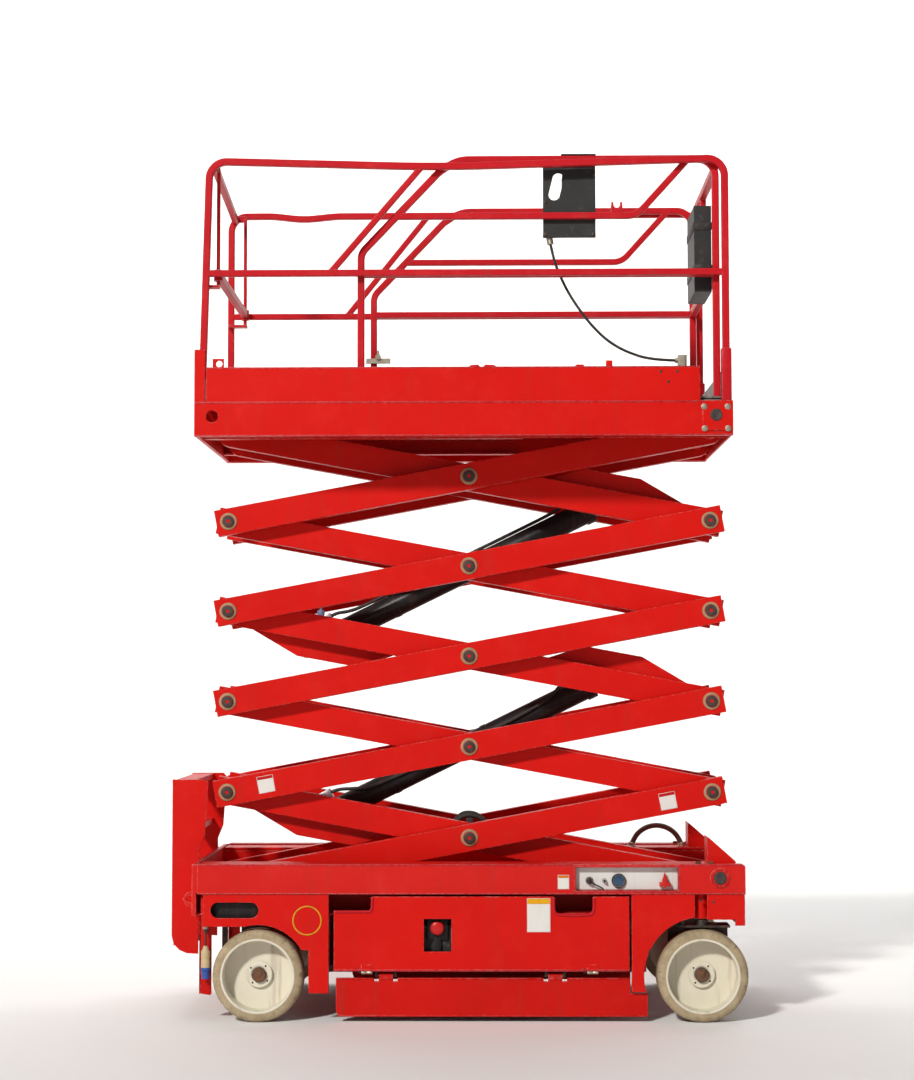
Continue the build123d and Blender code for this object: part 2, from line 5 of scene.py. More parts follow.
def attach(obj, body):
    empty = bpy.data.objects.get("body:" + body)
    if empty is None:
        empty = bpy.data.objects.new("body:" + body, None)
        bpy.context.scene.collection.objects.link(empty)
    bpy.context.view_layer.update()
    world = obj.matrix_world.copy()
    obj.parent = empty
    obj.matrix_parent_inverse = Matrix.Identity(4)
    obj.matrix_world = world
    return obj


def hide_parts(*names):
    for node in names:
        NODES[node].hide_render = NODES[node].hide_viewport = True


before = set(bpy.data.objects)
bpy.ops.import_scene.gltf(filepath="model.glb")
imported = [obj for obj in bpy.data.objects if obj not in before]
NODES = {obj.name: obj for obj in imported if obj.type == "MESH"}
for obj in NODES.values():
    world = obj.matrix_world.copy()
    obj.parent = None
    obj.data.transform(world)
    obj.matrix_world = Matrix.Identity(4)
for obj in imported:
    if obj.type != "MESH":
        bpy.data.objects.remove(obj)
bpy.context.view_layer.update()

DX = 0.01825                      # layout shift, metres
rnd = random.Random(7)


# ------------------------------------------------------------------ node helpers
def new_mat(name):
    m = bpy.data.materials.new(name)
    m.use_nodes = True
    nt = m.node_tree
    b = nt.nodes.get("Principled BSDF")
    return m, nt, b


def N(nt, kind, **kw):
    n = nt.nodes.new(kind)
    for k, v in kw.items():
        if k in n.inputs:
            n.inputs[k].default_value = v
        else:
            setattr(n, k, v)
    return n


def L(nt, a, b):
    nt.links.new(a, b)


def coords(nt, scale=(1, 1, 1), rot=(0, 0, 0)):
    tc = N(nt, "ShaderNodeTexCoord")
    mp = N(nt, "ShaderNodeMapping")
    mp.inputs["Scale"].default_value = scale
    mp.inputs["Rotation"].default_value = rot
    L(nt, tc.outputs["Object"], mp.inputs["Vector"])
    return mp.outputs["Vector"]


def noise(nt, vec, scale, detail=4.0, rough=0.55, dist=0.0):
    n = N(nt, "ShaderNodeTexNoise")
    n.inputs["Scale"].default_value = scale
    n.inputs["Detail"].default_value = detail
    n.inputs["Roughness"].default_value = rough
    n.inputs["Distortion"].default_value = dist
    L(nt, vec, n.inputs["Vector"])
    return n.outputs["Fac"]


def ramp(nt, fac, stops, interp="LINEAR"):
    r = N(nt, "ShaderNodeValToRGB")
    r.color_ramp.interpolation = interp
    el = r.color_ramp.elements
    while len(el) < len(stops):
        el.new(0.5)
    for e, (p, c) in zip(el, stops):
        e.position = p
        e.color = (c, c, c, 1) if isinstance(c, (int, float)) else (*c, 1)
    L(nt, fac, r.inputs["Fac"])
    return r.outputs["Color"]


def math_(nt, op, a, b=None, clamp=False):
    n = N(nt, "ShaderNodeMath", operation=op)
    n.use_clamp = clamp
    for i, v in enumerate((a, b)):
        if v is None:
            continue
        if isinstance(v, (int, float)):
            n.inputs[i].default_value = v
        else:
            L(nt, v, n.inputs[i])
    return n.outputs[0]


def mix(nt, fac, a, b):
    n = N(nt, "ShaderNodeMix", data_type="RGBA")
    for s, v in ((n.inputs[0], fac), (n.inputs[6], a), (n.inputs[7], b)):
        if isinstance(v, tuple):
            s.default_value = (*v, 1)
        elif isinstance(v, (int, float)):
            s.default_value = v
        else:
            L(nt, v, s)
    return n.outputs[2]


def edge_mask(nt, radius=0.006, lo=0.02, hi=0.25):
    """How strongly a point sits on a sharp edge: the rounded normal against the flat one."""
    bv = N(nt, "ShaderNodeBevel", samples=4)
    bv.inputs["Radius"].default_value = radius
    g = N(nt, "ShaderNodeNewGeometry")
    d = N(nt, "ShaderNodeVectorMath", operation="DOT_PRODUCT")
    L(nt, bv.outputs["Normal"], d.inputs[0])
    L(nt, g.outputs["Normal"], d.inputs[1])
    e = math_(nt, "SUBTRACT", 1.0, d.outputs["Value"])
    r = N(nt, "ShaderNodeMapRange")
    r.inputs["From Min"].default_value = lo
    r.inputs["From Max"].default_value = hi
    L(nt, e, r.inputs["Value"])
    return r.outputs["Result"], bv.outputs["Normal"]


def bump(nt, height, strength, dist, normal=None):
    b = N(nt, "ShaderNodeBump")
    b.inputs["Strength"].default_value = strength
    b.inputs["Distance"].default_value = dist
    L(nt, height, b.inputs["Height"])
    if normal is not None:
        L(nt, normal, b.inputs["Normal"])
    return b.outputs["Normal"]


def paint(name, base, dark, pale, rough=0.38, wear=0.5, dirt=0.35, edge_r=0.006, grime=(0.16, 0.05, 0.035),
          coat=0.03, chips=0.62):
    """Worn enamel: faded patches, chipped pale edges, grime streaks that run down, orange peel."""
    m, nt, b = new_mat(name)
    v = coords(nt)
    big = noise(nt, v, 1.7, 5, 0.6)
    mid = noise(nt, v, 9.0, 6, 0.65)
    fine = noise(nt, v, 60.0, 6, 0.7)
    spk = noise(nt, v, 190.0, 3, 0.6)
    c = mix(nt, ramp(nt, big, [(0.3, 0.0), (0.72, 1.0)]), base, dark)
    c = mix(nt, math_(nt, "MULTIPLY", ramp(nt, mid, [(0.52, 0.0), (0.75, 1.0)]), 0.35), c, pale)
    # streaks that run down
    sv = coords(nt, (14, 14, 1.1))
    st = noise(nt, sv, 1.6, 5, 0.6)
    stm = math_(nt, "MULTIPLY", ramp(nt, st, [(0.55, 0.0), (0.78, 1.0)]), dirt)
    c = mix(nt, stm, c, grime)
    em, bn = edge_mask(nt, edge_r)
    ch = math_(nt, "MULTIPLY", em, ramp(nt, fine, [(chips - 0.16, 0.0), (chips, 1.0)]), True)
    ch = math_(nt, "MULTIPLY", ch, wear, True)
    c = mix(nt, ch, c, (0.62, 0.42, 0.38))
    # a few scratches and specks away from edges
    sp = ramp(nt, spk, [(0.715, 0.0), (0.735, 1.0)])
    spm = math_(nt, "MULTIPLY", math_(nt, "MULTIPLY", sp, ramp(nt, mid, [(0.5, 0.0), (0.62, 1.0)])), 0.5 * wear)
    c = mix(nt, spm, c, (0.55, 0.33, 0.28))
    L(nt, c, b.inputs["Base Color"])
    r = N(nt, "ShaderNodeMapRange")
    r.inputs["To Min"].default_value = rough - 0.08
    r.inputs["To Max"].default_value = rough + 0.16
    L(nt, mid, r.inputs["Value"])
    rr = math_(nt, "ADD", r.outputs["Result"], math_(nt, "MULTIPLY", ch, 0.3), True)
    L(nt, rr, b.inputs["Roughness"])
    b.inputs["Coat Weight"].default_value = coat
    b.inputs["Coat Roughness"].default_value = 0.25
    b.inputs["Specular IOR Level"].default_value = 0.12
    h = math_(nt, "ADD", math_(nt, "MULTIPLY", spk, 0.25), math_(nt, "MULTIPLY", ch, -0.8))
    L(nt, bump(nt, h, 0.12, 0.0015, bn), b.inputs["Normal"])
    return m


def steel(name, base, dark, rough=0.4, rust=0.0, metallic=1.0, rust_col=(0.2, 0.075, 0.03), grain=(1, 1, 60)):
    m, nt, b = new_mat(name)
    v = coords(nt)
    mid = noise(nt, v, 22.0, 5, 0.6)
    fine = noise(nt, coords(nt, grain), 40.0, 4, 0.6)
    c = mix(nt, ramp(nt, mid, [(0.35, 0.0), (0.7, 1.0)]), base, dark)
    if rust:
        rm = math_(nt, "MULTIPLY", ramp(nt, noise(nt, v, 31.0, 7, 0.7), [(0.42, 0.0), (0.62, 1.0)]), rust)
        c = mix(nt, rm, c, rust_col)
    L(nt, c, b.inputs["Base Color"])
    if rust:
        L(nt, math_(nt, "SUBTRACT", metallic, math_(nt, "MULTIPLY", rm, 0.9), True), b.inputs["Metallic"])
    else:
        b.inputs["Metallic"].default_value = metallic
    r = N(nt, "ShaderNodeMapRange")
    r.inputs["To Min"].default_value = rough - 0.1
    r.inputs["To Max"].default_value = rough + 0.15
    L(nt, fine, r.inputs["Value"])
    _, bn = edge_mask(nt, 0.003)
    if rust:
        L(nt, math_(nt, "ADD", r.outputs["Result"], math_(nt, "MULTIPLY", rm, 0.3), True), b.inputs["Roughness"])
        L(nt, bump(nt, math_(nt, "ADD", fine, rm), 0.1, 0.001, bn), b.inputs["Normal"])
    else:
        L(nt, r.outputs["Result"], b.inputs["Roughness"])
        L(nt, bump(nt, fine, 0.1, 0.001, bn), b.inputs["Normal"])
    return m


def plastic(name, base, alt, rough=0.5, spec=0.4, scale=120.0, dust=0.15):
    m, nt, b = new_mat(name)
    v = coords(nt)
    c = mix(nt, ramp(nt, noise(nt, v, 8.0, 5, 0.6), [(0.3, 0.0), (0.7, 1.0)]), base, alt)
    d = math_(nt, "MULTIPLY", ramp(nt, noise(nt, v, 26.0, 6, 0.7), [(0.55, 0.0), (0.8, 1.0)]), dust)
    c = mix(nt, d, c, (0.36, 0.31, 0.25))
    L(nt, c, b.inputs["Base Color"])
    r = N(nt, "ShaderNodeMapRange")
    r.inputs["To Min"].default_value = rough - 0.07
    r.inputs["To Max"].default_value = rough + 0.13
    L(nt, noise(nt, v, 40.0, 4, 0.6), r.inputs["Value"])
    L(nt, r.outputs["Result"], b.inputs["Roughness"])
    b.inputs["Specular IOR Level"].default_value = spec
    _, bn = edge_mask(nt, 0.002)
    L(nt, bump(nt, noise(nt, v, scale * 6, 3, 0.6), 0.15, 0.0006, bn), b.inputs["Normal"])
    return m


RED = paint("red_enamel", (0.66, 0.0075, 0.004), (0.58, 0.006, 0.0035), (0.70, 0.022, 0.014), dirt=0.16, wear=0.75)
# rail red: a darker, bluer red that paints in the sky reflection (painted reflection), with heavier real chips and
# wear
RED_RAIL_WORN_SKY_SHEEN = paint("red_enamel_rail_worn_sky_sheen", (0.57, 0.010, 0.017), (0.46, 0.008, 0.015), (0.64, 0.05, 0.048), wear=1.0, chips=0.56,
                 edge_r=0.005, dirt=0.2)
RED_BEAM = paint("red_enamel_faded", (0.63, 0.016, 0.012), (0.57, 0.012, 0.01), (0.68, 0.04, 0.03), wear=0.9, chips=0.58, dirt=0.2)
RED_DARK = paint("red_enamel_low", (0.60, 0.007, 0.004), (0.50, 0.006, 0.0035), (0.62, 0.022, 0.015), dirt=0.3, wear=0.8)
CREAM = paint("cream_enamel", (0.74, 0.70, 0.58), (0.66, 0.61, 0.48), (0.80, 0.77, 0.67), rough=0.45, wear=0.5,
              dirt=0.55, grime=(0.22, 0.13, 0.07), coat=0.08)
BLACK = paint("black_enamel", (0.012, 0.012, 0.014), (0.02, 0.018, 0.018), (0.05, 0.045, 0.045), rough=0.4, wear=0.5,
              dirt=0.4, grime=(0.09, 0.06, 0.045), coat=0.2)
WHITE = paint("white_panel", (0.74, 0.74, 0.71), (0.64, 0.64, 0.61), (0.8, 0.8, 0.78), rough=0.45, wear=0.3, dirt=0.35,
              grime=(0.3, 0.22, 0.16), coat=0.1)
CHROME = steel("chrome_rod", (0.72, 0.72, 0.74), (0.6, 0.6, 0.62), rough=0.14, grain=(1, 60, 60))
DARKSTEEL = steel("dark_steel", (0.09, 0.08, 0.075), (0.04, 0.036, 0.034), rough=0.5, rust=0.35)
ZINC = steel("zinc_plate", (0.52, 0.49, 0.40), (0.40, 0.36, 0.28), rough=0.42, rust=0.15)
RUST = steel("rusty_steel", (0.16, 0.09, 0.055), (0.09, 0.05, 0.03), rough=0.7, rust=0.8, metallic=0.6)
TAN = steel("tan_washer", (0.46, 0.30, 0.17), (0.32, 0.19, 0.10), rough=0.6, rust=0.3, metallic=0.25, rust_col=(0.25, 0.11, 0.05))
BPLAST = plastic("black_plastic", (0.012, 0.012, 0.013), (0.022, 0.021, 0.02), 0.5)
RPLAST = plastic("red_plastic", (0.55, 0.008, 0.006), (0.45, 0.006, 0.005), 0.3, dust=0.05)
BEIGE = plastic("beige_plastic", (0.60, 0.47, 0.27), (0.5, 0.38, 0.2), 0.5)
BLUEP = plastic("blue_plastic", (0.03, 0.10, 0.42), (0.02, 0.07, 0.32), 0.4)
RUBBER = plastic("black_rubber", (0.016, 0.015, 0.015), (0.035, 0.03, 0.027), 0.62, dust=0.3)
BATT = plastic("battery_case", (0.014, 0.014, 0.015), (0.03, 0.028, 0.026), 0.48, dust=0.4)
YELLOW_DARK = paint("amber_film", (0.72, 0.20, 0.012), (0.66, 0.17, 0.01), (0.76, 0.3, 0.05), rough=0.4, wear=0.2)
FILM = paint("white_film", (0.78, 0.77, 0.74), (0.70, 0.69, 0.65), (0.82, 0.81, 0.79), rough=0.45, wear=0.3, dirt=0.3,
             grime=(0.42, 0.3, 0.24))
RED_FILM = paint("red_film", (0.55, 0.01, 0.012), (0.48, 0.008, 0.01), (0.6, 0.04, 0.04), rough=0.45, wear=0.2)
PINHEAD = steel("pin_head_steel", (0.055, 0.043, 0.042), (0.032, 0.025, 0.025), rough=0.6, rust=0.3, metallic=0.3,
                rust_col=(0.10, 0.05, 0.03))
VALVE = steel("valve_body", (0.50, 0.50, 0.52), (0.36, 0.36, 0.38), rough=0.35, rust=0.1)
BLUEGREY = plastic("coil_case", (0.20, 0.26, 0.46), (0.14, 0.18, 0.34), 0.4)
GAUGE = plastic("gauge_face", (0.018, 0.05, 0.11), (0.03, 0.07, 0.14), 0.16, 0.6, dust=0.05)
PAPER = plastic("booklet_pages", (0.42, 0.42, 0.41), (0.25, 0.25, 0.25), 0.7, 0.2, dust=0.3)
CONDUIT = plastic("dusty_conduit", (0.17, 0.125, 0.09), (0.09, 0.066, 0.05), 0.6, dust=0.5)
YELLOW = paint("yellow_film", (0.80, 0.42, 0.012), (0.72, 0.35, 0.01), (0.85, 0.52, 0.05), rough=0.4, wear=0.2)


def tread_plate():
    """Aluminium chequer plate: crossed raised bars, scuffed."""
    m, nt, b = new_mat("chequer_plate")
    tc = N(nt, "ShaderNodeTexCoord")
    h = None
    for rot, off in ((0.785, 0.0), (-0.785, 0.5)):
        mp = N(nt, "ShaderNodeMapping")
        mp.inputs["Rotation"].default_value = (0, 0, rot)
        mp.inputs["Scale"].default_value = (22, 44, 1)
        mp.inputs["Location"].default_value = (off, off, 0)
        L(nt, tc.outputs["Object"], mp.inputs["Vector"])
        ch = N(nt, "ShaderNodeTexChecker")
        ch.inputs["Scale"].default_value = 1.0
        L(nt, mp.outputs["Vector"], ch.inputs["Vector"])
        fr = N(nt, "ShaderNodeVectorMath", operation="FRACTION")
        L(nt, mp.outputs["Vector"], fr.inputs[0])
        sep = N(nt, "ShaderNodeSeparateXYZ")
        L(nt, fr.outputs[0], sep.inputs[0])
        dx = math_(nt, "ABSOLUTE", math_(nt, "SUBTRACT", sep.outputs[0], 0.5))
        dy = math_(nt, "ABSOLUTE", math_(nt, "SUBTRACT", sep.outputs[1], 0.5))
        d = math_(nt, "ADD", math_(nt, "MULTIPLY", dx, 1.0), math_(nt, "MULTIPLY", dy, 1.6))
        r = N(nt, "ShaderNodeMapRange")
        r.inputs["From Min"].default_value = 0.46
        r.inputs["From Max"].default_value = 0.34
        L(nt, d, r.inputs["Value"])
        k = math_(nt, "MULTIPLY", r.outputs["Result"], ch.outputs["Fac"] if off == 0.0 else
                  math_(nt, "SUBTRACT", 1.0, ch.outputs["Fac"]))
        h = k if h is None else math_(nt, "MAXIMUM", h, k)
    v = coords(nt)
    mid = noise(nt, v, 5.0, 6, 0.65)
    c = mix(nt, ramp(nt, mid, [(0.35, 0.0), (0.7, 1.0)]), (0.30, 0.29, 0.27), (0.16, 0.145, 0.125))
    c = mix(nt, math_(nt, "MULTIPLY", h, 0.5), c, (0.55, 0.54, 0.52))
    L(nt, c, b.inputs["Base Color"])
    b.inputs["Metallic"].default_value = 0.7
    r = N(nt, "ShaderNodeMapRange")
    r.inputs["To Min"].default_value = 0.6
    r.inputs["To Max"].default_value = 0.32
    L(nt, h, r.inputs["Value"])
    L(nt, r.outputs["Result"], b.inputs["Roughness"])
    L(nt, bump(nt, h, 0.9, 0.002), b.inputs["Normal"])
    return m


DECK = tread_plate()


def tyre_mat():
    m, nt, b = new_mat("cream_rubber")
    v = coords(nt)
    mid = noise(nt, v, 14.0, 7, 0.68)
    fine = noise(nt, v, 85.0, 6, 0.7)
    c = mix(nt, ramp(nt, mid, [(0.32, 0.0), (0.7, 1.0)]), (0.46, 0.37, 0.24), (0.30, 0.225, 0.135))
    c = mix(nt, math_(nt, "MULTIPLY", ramp(nt, fine, [(0.5, 0.0), (0.72, 1.0)]), 0.45), c, (0.15, 0.105, 0.06))
    em, bn = edge_mask(nt, 0.012, 0.02, 0.35)
    c = mix(nt, math_(nt, "MULTIPLY", em, 0.35), c, (0.30, 0.23, 0.14))
    L(nt, c, b.inputs["Base Color"])
    b.inputs["Roughness"].default_value = 0.85
    b.inputs["Specular IOR Level"].default_value = 0.2
    L(nt, bump(nt, math_(nt, "ADD", mid, math_(nt, "MULTIPLY", fine, 0.6)), 0.5, 0.004), b.inputs["Normal"])
    return m


TYRE = tyre_mat()


# ------------------------------------------------------------------ CAD nodes
def assign(node, mat):
    o = NODES[node]
    o.data.materials.clear()
    o.data.materials.append(mat)


for n in NODES:
    mat = RED
    if n.startswith("tyre_"):
        mat = TYRE
    elif n.startswith("rim_"):
        mat = CREAM
    elif n.startswith("barrel_"):
        mat = BLACK
    elif n.startswith("rod_"):
        mat = CHROME
    elif n.startswith("guardrail") or n.startswith("extension_rail") or n in ("front_rail", "gate_frame", "entry_bar"):
        mat = RED_RAIL_WORN_SKY_SHEEN
    assign(n, mat)
# floor_pan gets black enamel as painted shade for the dark well under the scissor arms
for n, mat in (("floor_pan", BLACK), ("control_panel", WHITE), ("disconnect_knob", RPLAST), ("battery_pack", BATT),
               ("rear_axle", DARKSTEEL), ("hose_loop", CONDUIT), ("charger_lead", RUBBER), ("charger_plug", BEIGE),
               ("charger_gland", ZINC), ("knuckle_right", DARKSTEEL), ("knuckle_left", DARKSTEEL),
               ("tie_rod", DARKSTEEL), ("control_box", BPLAST), ("document_box", BPLAST), ("control_cable", RUBBER),
               ("cable_ends", ZINC), ("slide_latch", ZINC), ("main_deck", DECK), ("extension_deck", DECK),
               ("guard_right", RED_DARK), ("guard_left", RED_DARK), ("chassis_frame", RED_BEAM)):
    assign(n, mat)


# ------------------------------------------------------------------ mesh helpers (millimetres, layout frame)
XF, L_ARM, Z1, TH = 1091.0, 2140.0, 550.0, math.radians(10.582)
H = L_ARM * math.sin(TH)
C = L_ARM * math.cos(TH)


def emit(bm, name, mat, body, node=None, smooth=40):
    bmesh.ops.recalc_face_normals(bm, faces=bm.faces)
    for v in bm.verts:
        v.co = Vector(((v.co.x + 18.25) / 1000, v.co.y / 1000, v.co.z / 1000))
    me = bpy.data.meshes.new(name)
    bm.to_mesh(me)
    bm.free()
    me.shade_smooth()
    me.set_sharp_from_angle(angle=math.radians(smooth))
    me.materials.append(mat)
    o = bpy.data.objects.new(name, me)
    bpy.context.scene.collection.objects.link(o)
    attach(o, body)
    if node:
        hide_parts(*([node] if isinstance(node, str) else node))
    return o


def rbox(bm, x0, x1, y0, y1, z0, z1, r=2.0, segs=2, rot=0.0):
    c = Vector(((x0 + x1) / 2, (y0 + y1) / 2, (z0 + z1) / 2))
    d = bmesh.ops.create_cube(bm, size=1.0)["verts"]
    for v in d:
        v.co = Vector((v.co.x * abs(x1 - x0), v.co.y * abs(y1 - y0), v.co.z * abs(z1 - z0)))
    es = list({e for v in d for e in v.link_edges})
    if r > 0:
        g = bmesh.ops.bevel(bm, geom=es, offset=r, segments=segs, affect="EDGES", profile=0.5)
        vs = {v for f in g["faces"] for v in f.verts} | {v for v in d if v.is_valid}
    else:
        vs = set(d)
    R = Matrix.Rotation(rot, 3, "Y")
    for v in vs:
        v.co = R @ v.co + c


def lathe(bm, origin, prof, axis="Y", n=28, a0=0.0, sgn=1.0, ring=False):
    """Turn a profile of (radius, height along the axis) about an axis through origin."""
    rings = []
    ox, oy, oz = origin
    for r, h in prof:
        row = []
        for k in range(n):
            a = a0 + 2 * math.pi * k / n
            c, s = r * math.cos(a), r * math.sin(a)
            if axis == "Y":
                p = (ox + c, oy + sgn * h, oz + s)
            elif axis == "Z":
                p = (ox + c, oy + s, oz + sgn * h)
            else:
                p = (ox + sgn * h, oy + c, oz + s)
            row.append(bm.verts.new(p))
        rings.append(row)
    for a, b in zip(rings, rings[1:]):
        for k in range(n):
            bm.faces.new((a[k], a[(k + 1) % n], b[(k + 1) % n], b[k]))
    if ring:
        a, b = rings[-1], rings[0]
        for k in range(n):
            bm.faces.new((a[k], a[(k + 1) % n], b[(k + 1) % n], b[k]))
    else:
        bm.faces.new(rings[0])
        bm.faces.new(rings[-1])


def prism(bm, pts, y0, y1, r=0.0):
    a = [bm.verts.new((x, y0, z)) for x, z in pts]
    b = [bm.verts.new((x, y1, z)) for x, z in pts]
    n = len(pts)
    fs = [bm.faces.new(a), bm.faces.new(list(reversed(b)))]
    for k in range(n):
        fs.append(bm.faces.new((a[k], b[k], b[(k + 1) % n], a[(k + 1) % n])))
    if r > 0:
        bmesh.ops.recalc_face_normals(bm, faces=fs)
        es = list({e for f in fs for e in f.edges})
        bmesh.ops.bevel(bm, geom=es, offset=r, segments=2, affect="EDGES", profile=0.5)


def tube(bm, pts, r, n=12):
    P = [Vector(p) for p in pts]
    up = Vector((0, 1, 0))
    rings = []
    for k, p in enumerate(P):
        d = (P[min(k + 1, len(P) - 1)] - P[max(k - 1, 0)]).normalized()
        u = (up - d * up.dot(d))
        if u.length < 1e-4:
            u = Vector((1, 0, 0)) - d * d.x
        u.normalize()
        w = d.cross(u)
        rings.append([bm.verts.new(p + (u * math.cos(2 * math.pi * j / n) + w * math.sin(2 * math.pi * j / n)) * r)
                      for j in range(n)])
    for a, b in zip(rings, rings[1:]):
        for j in range(n):
            bm.faces.new((a[j], a[(j + 1) % n], b[(j + 1) % n], b[j]))
    bm.faces.new(rings[0])
    bm.faces.new(list(reversed(rings[-1])))


def smooth_path(pts, steps=6):
    P = [Vector(p) for p in pts]
    out = []
    for i in range(len(P) - 1):
        p0, p1, p2, p3 = P[max(i - 1, 0)], P[i], P[i + 1], P[min(i + 2, len(P) - 1)]
        for k in range(steps):
            t = k / steps
            out.append(0.5 * ((2 * p1) + (p2 - p0) * t + (2 * p0 - 5 * p1 + 4 * p2 - p3) * t * t
                              + (3 * p1 - p0 - 3 * p2 + p3) * t ** 3))
    out.append(P[-1])
    return out


def bolt(bm, x, y, z, r=10.0, h=7.0, sgn=-1.0, n=6):
    """Hex head on a washer, facing out along Y."""
    lathe(bm, (x, y, z), [(r * 1.45, 0), (r * 1.45, 1.6), (r * 1.3, 2.0)], n=24, sgn=sgn)
    lathe(bm, (x, y, z), [(r, 1.5), (r, h - 1.5), (r * 0.82, h)], n=n, a0=0.3, sgn=sgn)


# ------------------------------------------------------------------ cords
def nurbs(name, pts, r, mat, body, node):
    cu = bpy.data.curves.new(name, "CURVE")
    cu.dimensions = "3D"
    sp = cu.splines.new("NURBS")
    sp.points.add(len(pts) - 1)
    for p, q in zip(sp.points, pts):
        p.co = (q[0] + DX, q[1], q[2], 1.0)
    sp.order_u = 3
    sp.use_endpoint_u = True
    sp.resolution_u = 16
    cu.bevel_depth = r
    cu.bevel_resolution = 6
    cu.use_fill_caps = True
    cu.materials.append(mat)
    o = bpy.data.objects.new(name, cu)
    bpy.context.scene.collection.objects.link(o)
    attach(o, body)
    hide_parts(node)
    return o


# ------------------------------------------------------------------ charger plug
bm = bmesh.new()
lathe(bm, (-1068, -572, 306), [(9, 10), (11, 2), (14, -6), (18.6, -14), (19.2, -20), (19.2, -38), (17.6, -42), (17.6, -48), (19.2, -52),
                               (19.4, -82), (17, -84)], axis="Z", n=28)
plug = emit(bm, "plug_body", BEIGE, "chassis", "charger_plug")
bm = bmesh.new()
lathe(bm, (-1068, -572, 306), [(19.8, -80), (20.4, -84), (20.4, -92), (17, -95), (17, -122), (15, -127), (11, -127), (10.5, -112), (0.5, -111)],
      axis="Z", n=28)
plug_end = emit(bm, "plug_end", BLUEP, "chassis")

bm = bmesh.new()
lathe(bm, (-1068, -572, 387), [(11.5, 0), (11, -3), (8.5, -5), (7.2, -12), (5.4, -22), (4.6, -24)], axis="Z", n=22)
relief = emit(bm, "lead_relief", RUBBER, "chassis")
cab = [(0.395, 3.301), (0.408, 3.237), (0.431, 3.174), (0.467, 3.097), (0.518, 3.016), (0.582, 2.935),
       (0.646, 2.876), (0.722, 2.833), (0.824, 2.800), (0.927, 2.797)]
cable = nurbs("control_cable_soft", [(x, -0.497, z) for x, z in cab], 0.006, RUBBER, "extension", "control_cable")
hose = [(0.905 + 0.121 * math.cos(math.radians(166.13 - 19.0325 * i)),
         0.629 + 0.121 * math.sin(math.radians(166.13 - 19.0325 * i))) for i in range(9)]
hoseo = nurbs("hose_loop_soft", [(x, 0.452, z) for x, z in hose], 0.012, CONDUIT, "chassis", "hose_loop")
lead = [(-1.068, 0.386), (-1.066, 0.366), (-1.069, 0.346), (-1.067, 0.326), (-1.068, 0.306)]
leado = nurbs("charger_lead_soft", [(x, -0.572, z) for x, z in lead], 0.004, RUBBER, "chassis", "charger_lead")

# ------------------------------------------------------------------ scissor pins
def pin_places(i):
    out = [(XF - C / 2, Z1 + (i - 0.5) * H)]
    if i < 5:
        out.append((XF, Z1 + i * H))
    if i > 1:
        out.append((XF - C, Z1 + (i - 1) * H))
    return out


for i in range(1, 6):
    bc, bh = bmesh.new(), bmesh.new()
    for x, z in pin_places(i):
        for s in (-1.0, 1.0):
            wob = rnd.uniform(0, 6.28)
            lathe(bc, (x, s * 299.0, z), [(37.5, 0), (38.0, 2), (37.2, 5.2), (35.0, 7.4), (30.5, 8.4), (26.6, 7.8), (25.2, 5.0)],
                  n=36, a0=wob, sgn=s)
            lathe(bh, (x, s * 306.0, z), [(24.6, 0), (24.6, 8.5), (23.6, 10.4), (21.5, 11.2), (8.5, 11.4), (7.0, 9.4), (0.6, 9.0)],
                  n=30, a0=wob, sgn=s)
    emit(bc, "pin_collars_%d" % i, TAN, "outer_%d" % i)
    emit(bh, "pin_heads_%d" % i, PINHEAD, "outer_%d" % i)

# pin ends on the chassis sides and the platform, with their bolts
bm = bmesh.new()
for s in (-1.0, 1.0):
    lathe(bm, (XF, s * 599.0, 600), [(27, 0), (27, 4), (25.5, 5.5), (14, 5.8), (12, 3.5), (0.6, 3.0)], n=32, sgn=s)
emit(bm, "chassis_pin_ends", PINHEAD, "chassis")
bm = bmesh.new()
for s in (-1.0, 1.0):
    lathe(bm, (XF, s * 598.5, 600), [(40.5, 0), (40.5, 2.6), (39, 3.4), (33, 3.4), (31.5, 1.0)], n=36, sgn=s)
emit(bm, "chassis_pin_rings", RED_DARK, "chassis")
bm = bmesh.new()
for s in (-1.0, 1.0):
    lathe(bm, (XF, s * 599.5, 2550), [(26, 0), (26, 3.0), (24, 4.4), (19, 4.6), (17, 3.4), (8, 3.4), (6.5, 1.8), (0.6, 1.6)], n=32, sgn=s)
emit(bm, "platform_pin_ends", PINHEAD, "platform")
bm = bmesh.new()
for s in (-1.0, 1.0):
    for x, z in ((1040, 2585), (1140, 2585), (1042, 2492), (1141, 2492)):
        bolt(bm, x, s * 599.8, z, 9.0, 7.0, s)
emit(bm, "platform_plate_bolts", ZINC, "platform")
bm = bmesh.new()
for x, z in ((858, 2736), (928, 2736), (890, 2692)):
    lathe(bm, (x, -593.6, z), [(6.5, 0), (6.3, 1.0), (3.6, 1.6), (0.5, 1.7)], n=16, sgn=-1.0)
emit(bm, "toe_rivets", DARKSTEEL, "platform")

